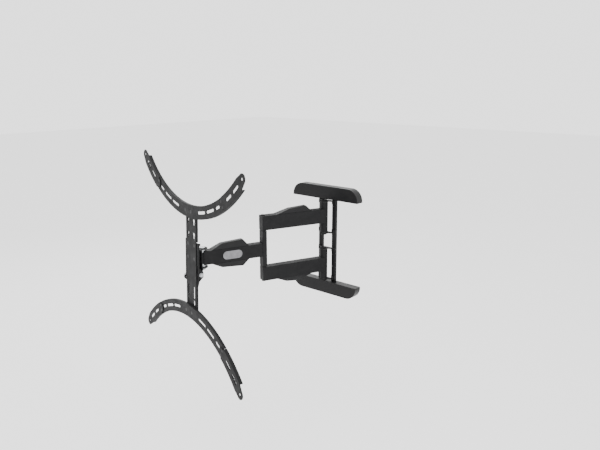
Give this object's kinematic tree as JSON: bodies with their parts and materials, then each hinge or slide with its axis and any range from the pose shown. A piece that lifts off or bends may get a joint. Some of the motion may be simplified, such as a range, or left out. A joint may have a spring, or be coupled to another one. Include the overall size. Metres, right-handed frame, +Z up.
{
  "type": "full motion television wall mount",
  "caption": "Full motion television wall mount: covered wall plate, double inner arm, single front arm, swivel head and an upright spine with curved arms.",
  "frame": {"origin": "centre of the wall plate's back face, level with the middle of its height", "axes": "+X along the wall, +Y into the wall, +Z up; the arms reach out along -Y"},
  "size_m": [0.6872, 0.5974, 0.6597],
  "materials": {
    "black_steel": "satin black powder coat",
    "wall_cover_plastic": "satin moulded plastic",
    "arm_cover_plastic": "finely textured moulded plastic",
    "badge_metal": "brushed, plain",
    "nylon": "dull",
    "plain_steel": "machined",
    "zinc_steel": "zinc plated",
    "black_hardware": "black oxide",
    "knob_grey": "satin"
  },
  "bodies": {
    "wall_frame": {"wall_plate": "black_steel", "top_wall_cover": "wall_cover_plastic", "bottom_wall_cover": "wall_cover_plastic", "upper_hinge_bottom_ear": "black_steel", "upper_hinge_top_ear": "black_steel", "lower_hinge_bottom_ear": "black_steel", "lower_hinge_top_ear": "black_steel", "hinge_ear_screws": "black_hardware", "upper_wall_pivot_pin": "black_hardware", "lower_wall_pivot_pin": "black_hardware", "wall_pivot_retainers": "black_hardware"},
    "inner_frame": {"upper_inner_arm": "black_steel", "lower_inner_arm": "black_steel", "wall_pivot_washers": "nylon", "wall_pivot_bushes": "nylon", "upper_elbow_pin": "black_hardware", "lower_elbow_pin": "black_hardware", "elbow_washers": "nylon", "upper_inner_arm_cover": "arm_cover_plastic", "lower_inner_arm_cover": "arm_cover_plastic"},
    "front_arm": {"front_arm_tube": "black_steel", "swivel_knuckle": "black_steel", "swivel_bush": "nylon", "elbow_post": "black_steel", "upper_elbow_plug": "plain_steel", "lower_elbow_plug": "plain_steel", "upper_front_arm_cover": "arm_cover_plastic", "lower_front_arm_cover": "arm_cover_plastic", "front_arm_badge": "badge_metal"},
    "swivel_head": {"swivel_yoke": "black_steel", "swivel_washers": "nylon", "swivel_spacers": "zinc_steel", "swivel_bolt": "zinc_steel", "swivel_nut": "zinc_steel", "tilt_hinge_plate": "black_steel", "tilt_bolts": "zinc_steel", "tilt_nuts": "zinc_steel", "tilt_friction_washers": "nylon", "tilt_lock_knob": "knob_grey"},
    "tv_bracket": {"upper_curved_arm": "black_steel", "lower_curved_arm": "black_steel", "upper_right_extension": "black_steel", "upper_left_extension": "black_steel", "lower_right_extension": "black_steel", "lower_left_extension": "black_steel", "upper_extension_rivets": "black_hardware", "lower_extension_rivets": "black_hardware", "spine": "black_steel", "tilt_bracket": "black_steel", "curved_arm_bolts": "black_hardware", "curved_arm_nuts": "zinc_steel", "curved_arm_spacers": "zinc_steel", "spine_screws": "black_hardware", "spine_nuts": "zinc_steel"}
  },
  "joints": [
    {"name": "wall_swing", "type": "hinge", "parent": "wall_frame", "child": "inner_frame", "pos_m": [0, -0.029, 0], "axis": [0, 0, 1], "range_deg": [-58, 100]},
    {"name": "elbow_swing", "type": "hinge", "parent": "inner_frame", "child": "front_arm", "pos_m": [-0.08972, -0.25106, 0], "axis": [0, 0, 1], "range_deg": [-75, 75]},
    {"name": "head_swivel", "type": "hinge", "parent": "front_arm", "child": "swivel_head", "pos_m": [-0.17103, -0.45333, 0], "axis": [0, 0, 1], "range_deg": [-60, 60]},
    {"name": "tilt", "type": "hinge", "parent": "swivel_head", "child": "tv_bracket", "pos_m": [-0.17798, -0.48251, -0.042], "axis": [0.9728, -0.2317, 0], "range_deg": [-2.8, 17.2]}
  ]
}
